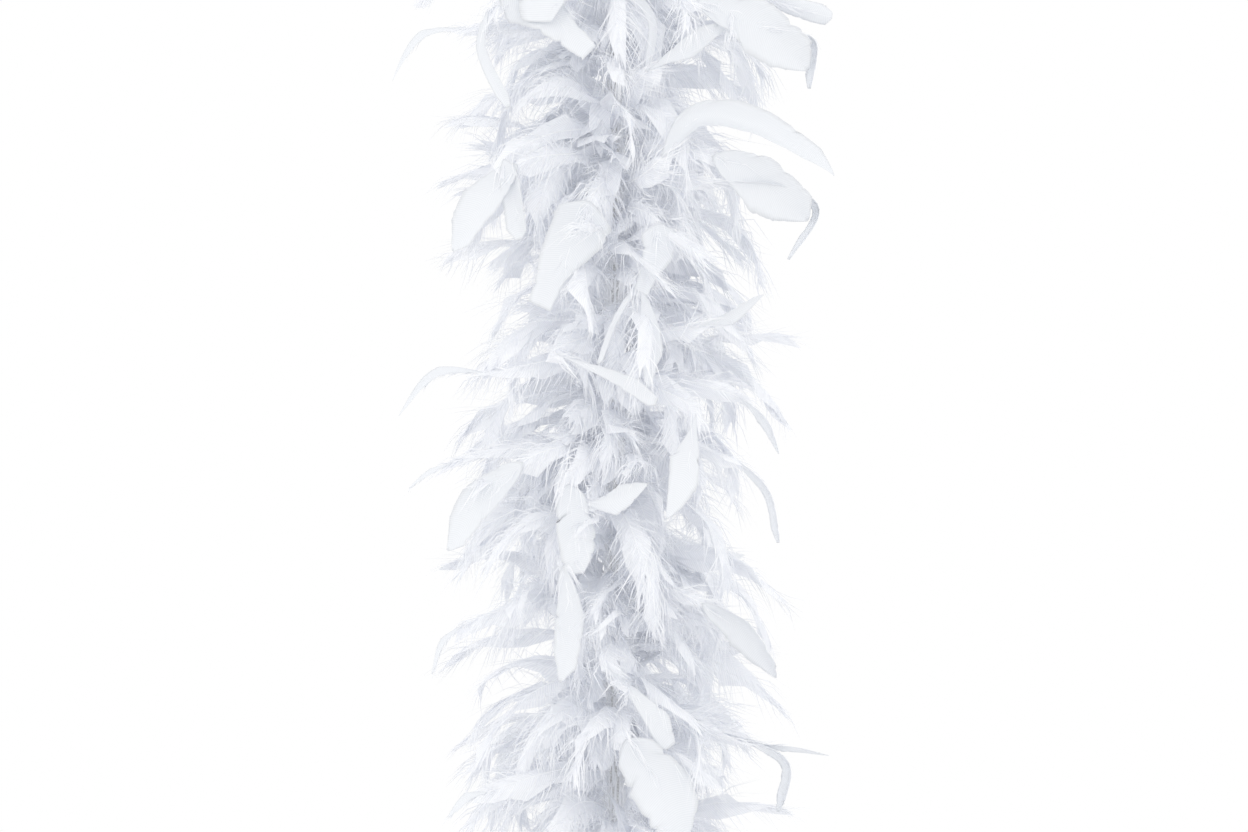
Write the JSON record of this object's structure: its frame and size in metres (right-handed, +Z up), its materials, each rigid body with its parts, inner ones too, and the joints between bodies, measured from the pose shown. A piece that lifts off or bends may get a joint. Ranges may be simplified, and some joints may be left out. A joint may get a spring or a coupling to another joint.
{
  "type": "feather boa",
  "caption": "White feather boa hanging at full length from its end loop: curled feathers and down all round a limp cotton cord that bends all along its length.",
  "frame": {"origin": "the hook point: the inside of the top loop, where a hook or peg carries the hanging boa", "axes": "+Z up along the hanging boa, from its lower end to its hook; the loops lie in the XZ plane, and a hook passes through them along Y"},
  "size_m": [0.1497, 0.1498, 1.904],
  "materials": {
    "feather": "soft matt with a faint sheen",
    "cotton_cord": "matt twisted cotton",
    "binding_thread": "slightly glossy thread"
  },
  "bodies": {
    "top_end": {"top_loop": "cotton_cord", "top_whipping": "binding_thread"},
    "section_01": {"core_cord_01": "cotton_cord", "binding_thread_01": "binding_thread", "feather_whorl_01": "feather"},
    "section_02": {"core_cord_02": "cotton_cord", "binding_thread_02": "binding_thread", "feather_whorl_02": "feather"},
    "section_03": {"core_cord_03": "cotton_cord", "binding_thread_03": "binding_thread", "feather_whorl_03": "feather"},
    "section_04": {"core_cord_04": "cotton_cord", "binding_thread_04": "binding_thread", "feather_whorl_04": "feather"},
    "section_05": {"core_cord_05": "cotton_cord", "binding_thread_05": "binding_thread", "feather_whorl_05": "feather"},
    "section_06": {"core_cord_06": "cotton_cord", "binding_thread_06": "binding_thread", "feather_whorl_06": "feather"},
    "section_07": {"core_cord_07": "cotton_cord", "binding_thread_07": "binding_thread", "feather_whorl_07": "feather"},
    "section_08": {"core_cord_08": "cotton_cord", "binding_thread_08": "binding_thread", "feather_whorl_08": "feather"},
    "section_09": {"core_cord_09": "cotton_cord", "binding_thread_09": "binding_thread", "feather_whorl_09": "feather"},
    "section_10": {"core_cord_10": "cotton_cord", "binding_thread_10": "binding_thread", "feather_whorl_10": "feather"},
    "section_11": {"core_cord_11": "cotton_cord", "binding_thread_11": "binding_thread", "feather_whorl_11": "feather"},
    "section_12": {"core_cord_12": "cotton_cord", "binding_thread_12": "binding_thread", "feather_whorl_12": "feather"},
    "section_13": {"core_cord_13": "cotton_cord", "binding_thread_13": "binding_thread", "feather_whorl_13": "feather"},
    "section_14": {"core_cord_14": "cotton_cord", "binding_thread_14": "binding_thread", "feather_whorl_14": "feather"},
    "section_15": {"core_cord_15": "cotton_cord", "binding_thread_15": "binding_thread", "feather_whorl_15": "feather"},
    "section_16": {"core_cord_16": "cotton_cord", "binding_thread_16": "binding_thread", "feather_whorl_16": "feather"},
    "section_17": {"core_cord_17": "cotton_cord", "binding_thread_17": "binding_thread", "feather_whorl_17": "feather"},
    "section_18": {"core_cord_18": "cotton_cord", "binding_thread_18": "binding_thread", "feather_whorl_18": "feather"},
    "bottom_end": {"bottom_loop": "cotton_cord", "bottom_whipping": "binding_thread"}
  },
  "joints": [
    {"name": "top_loop_swing", "type": "hinge", "parent": "top_end", "child": "section_01", "pos_m": [0, 0, -0.048], "axis": [0, 1, 0], "range_deg": [-45, 45]},
    {"name": "core_bend_01", "type": "hinge", "parent": "section_01", "child": "section_02", "pos_m": [0, 0, -0.148], "axis": [1, 0, 0], "range_deg": [-45, 45]},
    {"name": "core_bend_02", "type": "hinge", "parent": "section_02", "child": "section_03", "pos_m": [0, 0, -0.248], "axis": [0, -1, 0], "range_deg": [-45, 45]},
    {"name": "core_bend_03", "type": "hinge", "parent": "section_03", "child": "section_04", "pos_m": [0, 0, -0.348], "axis": [-1, 0, 0], "range_deg": [-45, 45]},
    {"name": "core_bend_04", "type": "hinge", "parent": "section_04", "child": "section_05", "pos_m": [0, 0, -0.448], "axis": [0, 1, 0], "range_deg": [-45, 45]},
    {"name": "core_bend_05", "type": "hinge", "parent": "section_05", "child": "section_06", "pos_m": [0, 0, -0.548], "axis": [1, 0, 0], "range_deg": [-45, 45]},
    {"name": "core_bend_06", "type": "hinge", "parent": "section_06", "child": "section_07", "pos_m": [0, 0, -0.648], "axis": [0, -1, 0], "range_deg": [-45, 45]},
    {"name": "core_bend_07", "type": "hinge", "parent": "section_07", "child": "section_08", "pos_m": [0, 0, -0.748], "axis": [-1, 0, 0], "range_deg": [-45, 45]},
    {"name": "core_bend_08", "type": "hinge", "parent": "section_08", "child": "section_09", "pos_m": [0, 0, -0.848], "axis": [0, 1, 0], "range_deg": [-45, 45]},
    {"name": "core_bend_09", "type": "hinge", "parent": "section_09", "child": "section_10", "pos_m": [0, 0, -0.948], "axis": [1, 0, 0], "range_deg": [-45, 45]},
    {"name": "core_bend_10", "type": "hinge", "parent": "section_10", "child": "section_11", "pos_m": [0, 0, -1.048], "axis": [0, -1, 0], "range_deg": [-45, 45]},
    {"name": "core_bend_11", "type": "hinge", "parent": "section_11", "child": "section_12", "pos_m": [0, 0, -1.148], "axis": [-1, 0, 0], "range_deg": [-45, 45]},
    {"name": "core_bend_12", "type": "hinge", "parent": "section_12", "child": "section_13", "pos_m": [0, 0, -1.248], "axis": [0, 1, 0], "range_deg": [-45, 45]},
    {"name": "core_bend_13", "type": "hinge", "parent": "section_13", "child": "section_14", "pos_m": [0, 0, -1.348], "axis": [1, 0, 0], "range_deg": [-45, 45]},
    {"name": "core_bend_14", "type": "hinge", "parent": "section_14", "child": "section_15", "pos_m": [0, 0, -1.448], "axis": [0, -1, 0], "range_deg": [-45, 45]},
    {"name": "core_bend_15", "type": "hinge", "parent": "section_15", "child": "section_16", "pos_m": [0, 0, -1.548], "axis": [-1, 0, 0], "range_deg": [-45, 45]},
    {"name": "core_bend_16", "type": "hinge", "parent": "section_16", "child": "section_17", "pos_m": [0, 0, -1.648], "axis": [0, 1, 0], "range_deg": [-45, 45]},
    {"name": "core_bend_17", "type": "hinge", "parent": "section_17", "child": "section_18", "pos_m": [0, 0, -1.748], "axis": [1, 0, 0], "range_deg": [-45, 45]},
    {"name": "bottom_loop_swing", "type": "hinge", "parent": "section_18", "child": "bottom_end", "pos_m": [0, 0, -1.848], "axis": [0, -1, 0], "range_deg": [-45, 45]}
  ]
}
